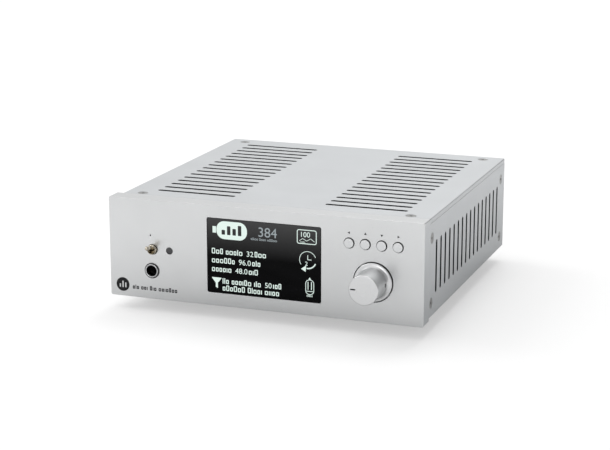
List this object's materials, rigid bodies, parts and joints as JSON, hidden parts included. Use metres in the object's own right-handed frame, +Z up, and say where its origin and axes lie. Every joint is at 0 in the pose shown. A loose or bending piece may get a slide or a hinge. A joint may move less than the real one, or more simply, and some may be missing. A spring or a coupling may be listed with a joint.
{
  "type": "desktop dac",
  "caption": "Desktop audio converter in a flat satin aluminium case, with a black display, a volume knob, menu buttons, a toggle switch and a headphone socket in front.",
  "frame": {"origin": "middle of the footprint of the whole object, on the surface that the feet stand on", "axes": "+X to the right seen from the front, +Y from the front panel to the sockets at the back, +Z up"},
  "size_m": [0.206, 0.2234, 0.072],
  "materials": {
    "front_panel": "satin anodised, fine bead-blasted grain, slightly rounded edges",
    "case_panel": "satin anodised sheet with punched air slots",
    "knob_aluminium": "turned and satin anodised",
    "screw_steel": "bright steel",
    "inner_steel": "zinc plated",
    "polished_chrome": "mirror polished",
    "toggle_nickel": "polished warm nickel",
    "display_glass": "black glossy window",
    "smoked_plastic": "dark translucent plastic",
    "dark_plastic": "fine moulded texture",
    "circuit_board": "solder mask",
    "foot_rubber": "soft matt",
    "valve_ceramic": "unglazed ceramic",
    "valve_glass": "clear",
    "contact_gold": "gold plated"
  },
  "bodies": {
    "chassis": {"front_panel": "front_panel", "top_cover": "case_panel", "side_panel_left": "case_panel", "side_panel_right": "case_panel", "rear_panel": "case_panel", "bottom_plate": "inner_steel", "corner_post_front_left": "inner_steel", "foot_front_left": "foot_rubber", "top_screw_front_left": "screw_steel", "side_screw_front_left_lower": "screw_steel", "side_screw_front_left_upper": "screw_steel", "corner_post_rear_left": "inner_steel", "foot_rear_left": "foot_rubber", "top_screw_rear_left": "screw_steel", "side_screw_rear_left_lower": "screw_steel", "side_screw_rear_left_upper": "screw_steel", "corner_post_front_right": "inner_steel", "foot_front_right": "foot_rubber", "top_screw_front_right": "screw_steel", "side_screw_front_right_lower": "screw_steel", "side_screw_front_right_upper": "screw_steel", "corner_post_rear_right": "inner_steel", "foot_rear_right": "foot_rubber", "top_screw_rear_right": "screw_steel", "side_screw_rear_right_lower": "screw_steel", "side_screw_rear_right_upper": "screw_steel", "display_window": "display_glass", "display_module": "dark_plastic", "display_board": "circuit_board", "volume_potentiometer": "inner_steel", "button_board": "circuit_board", "toggle_switch": "toggle_nickel", "headphone_bezel": "polished_chrome", "headphone_jack": "dark_plastic", "ir_window": "smoked_plastic", "status_led": "smoked_plastic", "control_board": "circuit_board", "main_board": "circuit_board", "valve_board": "circuit_board", "valve_socket_left": "valve_ceramic", "valve_left": "valve_glass", "xlr_output_left": "dark_plastic", "rca_output_left": "contact_gold", "valve_socket_right": "valve_ceramic", "valve_right": "valve_glass", "xlr_output_right": "dark_plastic", "rca_output_right": "contact_gold", "xlr_input": "dark_plastic", "rca_input": "contact_gold", "optical_input": "dark_plastic", "usb_socket": "screw_steel", "power_inlet": "dark_plastic"},
    "volume_control": {"volume_knob": "knob_aluminium", "knob_set_screw": "screw_steel", "volume_shaft": "screw_steel"},
    "toggle": {"toggle_lever": "toggle_nickel"},
    "left_button": {"button_left": "knob_aluminium"},
    "up_button": {"button_up": "knob_aluminium"},
    "down_button": {"button_down": "knob_aluminium"},
    "right_button": {"button_right": "knob_aluminium"}
  },
  "joints": [
    {"name": "volume_turn", "type": "hinge", "parent": "chassis", "child": "volume_control", "pos_m": [0.07135, -0.09275, 0.0331], "axis": [0, 1, 0], "range_deg": [-60, 240]},
    {"name": "toggle_throw", "type": "hinge", "parent": "chassis", "child": "toggle", "pos_m": [-0.0735, -0.09175, 0.0401], "axis": [1, 0, 0], "range_deg": [0, 32]},
    {"name": "left_button_press", "type": "slide", "parent": "chassis", "child": "left_button", "axis": [0, 1, 0], "range_m": [0, 0.0005], "stiffness_N_per_m": 400},
    {"name": "up_button_press", "type": "slide", "parent": "chassis", "child": "up_button", "axis": [0, 1, 0], "range_m": [0, 0.0005], "stiffness_N_per_m": 400},
    {"name": "down_button_press", "type": "slide", "parent": "chassis", "child": "down_button", "axis": [0, 1, 0], "range_m": [0, 0.0005], "stiffness_N_per_m": 400},
    {"name": "right_button_press", "type": "slide", "parent": "chassis", "child": "right_button", "axis": [0, 1, 0], "range_m": [0, 0.0005], "stiffness_N_per_m": 400}
  ]
}
